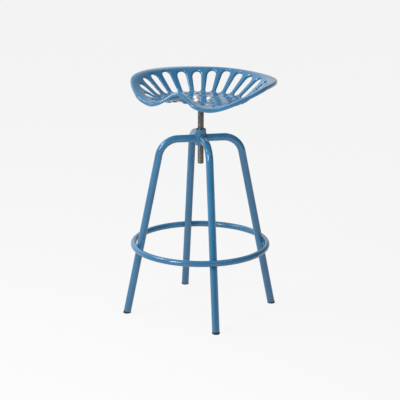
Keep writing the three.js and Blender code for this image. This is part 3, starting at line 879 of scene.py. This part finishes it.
def makeSpindle():
    # radius less the thread's depth, which follows height / pitch less starts x angle / full turn: a
    # right-hand thread of two starts
    low, high, r = spindle["low"], spindle["high"], spindle["radius"]
    rows = int((high - low) / spindle["pitch"] * spindle["stepsPerPitch"])
    z = np.linspace(low, high, rows)[:, None]
    angle = np.arange(spindle["sides"])[None] / spindle["sides"] * turn
    phase = (z / spindle["pitch"] - spindle["starts"] * angle / turn) % 1
    fromCrest = np.abs(phase - 0.5) * 2
    flank = np.clip((fromCrest - spindle["crest"]) / (1 - spindle["crest"] - spindle["root"]), 0, 1)
    limit = np.minimum(z - low, high - z) + r - spindle["chamfer"]
    radius = np.minimum(r - spindle["depth"] * flank, limit)
    body = np.stack([radius * np.cos(angle), radius * np.sin(angle), z + 0 * angle], -1)
    ends = [np.tile([0, 0, height], (1, spindle["sides"], 1)).astype(float) for height in (low, high)]
    grid = np.concatenate([ends[0], body, ends[1]])
    makePiece("screwSpindle", [(grid, True)], screwSteel, "seat", ["spindle"], sharp=60)


def makeNut():
    # a profile with a slanted mouth at each end of its bore, turned about Z
    outer, inner, low, high, leadIn = nut["outer"], nut["inner"], nut["low"], nut["high"], nut["leadIn"]
    middle = (low + high) / 2
    wall = [[inner, middle], [inner, low + leadIn], [inner + leadIn, low], [outer, low],
            [outer, high], [inner + leadIn, high], [inner, high - leadIn], [inner, middle]]
    grid = lathe(roundCorners(wall, nut["rounding"]), nut["sides"])
    makePiece("spindleNut", [(grid, True)], plainSteel, "base", ["spindle_nut"], merge=0.01)


def makeBuffer():
    # a ring with well rounded edges
    low, high = buffer["low"], buffer["low"] + buffer["height"]
    ring = collar(buffer["inner"], buffer["outer"], low, high, buffer["rounding"], 6, buffer["sides"])
    makePiece("bufferRing", [(ring, True)], blackRubber, "lift", ["buffer_ring"], merge=0.01)


makeSpindle()
makeNut()
makeBuffer()
print("stage: spindle")


# Plate under the seat, and the three bolts with their washers
plate = {"radius": 35.0, "low": 632.8, "high": 637.8, "rounding": 0.7, "sides": 96}
bolt = {
    "count": 3, "reach": 25.0, "radius": 4.0, "tipBevel": 0.7, "headRadius": 8.0, "headHeight": 5.6,
    "edge": 1.2, "low": 632.8, "seat": 643.3, "sides": 60, "domeRows": 9,
    "socket": 2.5, "socketDepth": 3.2, "socketLip": 0.5, "socketBevel": 0.25,
}
washer = {"outer": 10.0, "inner": 4.4, "low": 641.4, "thickness": 1.6, "rounding": 0.4, "sides": 48}
boltAngles = np.arange(bolt["count"]) / bolt["count"] * turn - np.pi / 2
boltPlaces = [(bolt["reach"] * math.cos(angle), bolt["reach"] * math.sin(angle)) for angle in boltAngles]


def makePlate():
    # a disc with rounded edges: its profile turned about Z
    radius, low, high = plate["radius"], plate["low"], plate["high"]
    profile = roundCorners([[0, low], [radius, low], [radius, high], [0, high]], plate["rounding"])
    grid = lathe(profile, plate["sides"])
    makePiece("mountingPlate", [(grid, True)], bluePaint, "seat", ["mounting_plate"])


def boltGrid():
    # rings from the tip up to the head's rim, over a dome, a quarter of an ellipse, to the lip of a
    # six-sided socket, whose reach is its flat's over the cosine of the angle from the flat's middle
    angle = np.arange(bolt["sides"]) / bolt["sides"] * turn
    sixth = np.pi / 6
    socket = bolt["socket"] / np.cos((angle % (2 * sixth)) - sixth)
    head, seat, radius, bevel = bolt["headRadius"], bolt["seat"], bolt["radius"], bolt["tipBevel"]
    share = np.linspace(0, 1, bolt["domeRows"])[:, None]
    mouth = socket + bolt["socketLip"]
    reach = mouth + (head - mouth) * share
    rise = (bolt["headHeight"] - bolt["edge"]) * np.sqrt(np.clip(1 - (reach / head) ** 2, 0, 1))
    height = seat + bolt["edge"] + rise
    dome = np.stack([reach * np.cos(angle), reach * np.sin(angle), height], -1)

    def row(radius, z):
        radius, z = radius + 0 * angle, z + 0 * angle
        return np.stack([radius * np.cos(angle), radius * np.sin(angle), z], -1)[None]

    floor = seat + bolt["headHeight"] - bolt["socketDepth"]
    return np.concatenate([
        row(0, floor), row(socket, floor), row(socket, height[0] - bolt["socketBevel"]), dome,
        row(head, seat), row(radius, seat), row(radius, bolt["low"] + bevel),
        row(radius - bevel, bolt["low"]), row(0, bolt["low"]),
    ])[::-1]


def makeBolts():
    # bolts on a circle, each with a flat ring for its washer
    low, high = washer["low"], washer["low"] + washer["thickness"]
    ring = collar(washer["inner"], washer["outer"], low, high, washer["rounding"], 3, washer["sides"])
    grid = boltGrid()
    for k, (x, y) in enumerate(boltPlaces):
        makePiece(f"seatBolt{k + 1}", [(grid + (x, y, 0), True)], boltZinc, "seat",
                  [f"seat_bolt_{k + 1}"])
        makePiece(f"seatWasher{k + 1}", [(ring + (x, y, 0), True)], boltZinc, "seat",
                  [f"seat_washer_{k + 1}"], merge=0.01)


makePlate()
makeBolts()
print("stage: plate and bolts")


# Floor, world and lamps, in metres and watts. A turn is in degrees, anticlockwise seen from above, from the
# camera's direction.
studio = {
    "floorColour": (0.68, 0.68, 0.68), "floorRoughness": 0.9, "floorSpecular": 0.1,
    "floorHalf": 20.0,     # metres
    "background": 0.975, "floorPlain": 0.88,     # the plain background, and its share of what is seen
    "worldColour": (0.95, 0.97, 1.0), "worldPlain": 0.04,
}
skyGlows = [              # turn, rise, tightness, strength
    (-135.0, 25.0, 4.0, 1.15),
    (180.0, 25.0, 4.0, 0.65),
    (-50.0, 35.0, 4.0, 0.25),
    (0.0, 90.0, 4.0, 0.2),
]
keyLamp = {
    "aim": (0, 0, 0.6), "turn": -43.0, "rise": 25.0, "distance": 2.2, "size": (0.6, 1.05), "power": 26.0,
    "mirrored": True,
}
sideLamp = {
    "aim": (0, 0, 0.45), "turn": -90.0, "rise": 45.0, "distance": 3.0, "size": (1.0, 1.0), "power": 31.0,
    "mirrored": True,
}
fillLamp = {
    "aim": (0, 0, 0.6), "turn": 4.0, "rise": 22.0, "distance": 1.3, "size": (0.8, 0.5), "power": 6.4,
    "mirrored": False,
}
rightLamp = {
    "aim": (0, 0, 0.6), "turn": 50.0, "rise": 50.0, "distance": 3.0, "size": (1.4, 0.7), "power": 6.5,
    "mirrored": True,
}


def directionFrom(turnDegrees, rise):
    # unit vector from the object to a place round it
    start = math.atan2(camera["place"][1], camera["place"][0])
    angle, up = start + math.radians(turnDegrees), math.radians(rise)
    return Vector((math.cos(angle) * math.cos(up), math.sin(angle) * math.cos(up), math.sin(up)))


def makeFloor():
    # pale floor; the eye and reflections see it partly as plain background, so its shadow is faint
    half = studio["floorHalf"]
    mesh = bpy.data.meshes.new("floor")
    corners = [(-half, -half, 0), (half, -half, 0), (half, half, 0), (-half, half, 0)]
    mesh.from_pydata(corners, [], [(0, 1, 2, 3)])
    material, nodes, links, shader = newMaterial("floorMaterial")
    shader.inputs["Base Color"].default_value = (*studio["floorColour"], 1)
    shader.inputs["Roughness"].default_value = studio["floorRoughness"]
    shader.inputs["Specular IOR Level"].default_value = studio["floorSpecular"]
    glow = nodes.new("ShaderNodeEmission")
    glow.inputs["Color"].default_value = (*(studio["background"],) * 3, 1)
    path = nodes.new("ShaderNodeLightPath")
    seen = path.outputs["Is Camera Ray"]
    for kind in ("Is Glossy Ray", "Is Transmission Ray"):
        either = nodes.new("ShaderNodeMath")
        either.operation = "MAXIMUM"
        links.new(seen, either.inputs[0])
        links.new(path.outputs[kind], either.inputs[1])
        seen = either.outputs[0]
    share = nodes.new("ShaderNodeMath")
    share.operation = "MULTIPLY"
    share.inputs[1].default_value = studio["floorPlain"]
    links.new(seen, share.inputs[0])
    mix = nodes.new("ShaderNodeMixShader")
    links.new(share.outputs[0], mix.inputs["Fac"])
    links.new(shader.outputs["BSDF"], mix.inputs[1])
    links.new(glow.outputs["Emission"], mix.inputs[2])
    links.new(mix.outputs["Shader"], nodes["Material Output"].inputs["Surface"])
    mesh.materials.append(material)
    obj = bpy.data.objects.new("floor", mesh)
    bpy.context.scene.collection.objects.link(obj)


def makeWorld():
    # strength: a plain part, and for each glow the cosine of the angle from its middle, to a power
    world = bpy.data.worlds.new("studio")
    world.use_nodes = True
    bpy.context.scene.world = world
    nodes, links = world.node_tree.nodes, world.node_tree.links
    background = nodes["Background"]
    place = nodes.new("ShaderNodeTexCoord")

    def calculate(operation, source, value):
        node = nodes.new("ShaderNodeMath")
        node.operation = operation
        links.new(source, node.inputs[0])
        if isinstance(value, float):
            node.inputs[1].default_value = value
        else:
            links.new(value, node.inputs[1])
        return node.outputs[0]

    total = None
    for turnDegrees, rise, tightness, strength in skyGlows:
        cosine = nodes.new("ShaderNodeVectorMath")
        cosine.operation = "DOT_PRODUCT"
        cosine.inputs[1].default_value = directionFrom(turnDegrees, rise)
        links.new(place.outputs["Generated"], cosine.inputs[0])
        near = calculate("MAXIMUM", cosine.outputs["Value"], 0.0)
        glow = calculate("MULTIPLY", calculate("POWER", near, tightness), strength)
        total = calculate("ADD", total, glow) if total else calculate("ADD", glow, studio["worldPlain"])
    links.new(total, background.inputs["Strength"])
    background.inputs["Color"].default_value = (*studio["worldColour"], 1)


def makeLamp(name, lamp):
    # an area lamp at a distance from the place that it faces
    data = bpy.data.lights.new(name, "AREA")
    data.energy = lamp["power"]
    data.shape = "RECTANGLE"
    data.size, data.size_y = lamp["size"]
    obj = bpy.data.objects.new(name, data)
    obj.visible_glossy = lamp["mirrored"]     # the fill leaves no glare on the paint
    bpy.context.scene.collection.objects.link(obj)
    away = directionFrom(lamp["turn"], lamp["rise"]) * lamp["distance"]
    turned = (-away).to_track_quat("-Z", "Y").to_matrix().to_4x4()
    obj.matrix_world = Matrix.Translation(Vector(lamp["aim"]) + away) @ turned


makeFloor()
makeWorld()
makeLamp("keyLamp", keyLamp)
makeLamp("sideLamp", sideLamp)
makeLamp("fillLamp", fillLamp)
makeLamp("rightLamp", rightLamp)
print("stage: studio")

bpy.context.scene.view_settings.view_transform = "Standard"
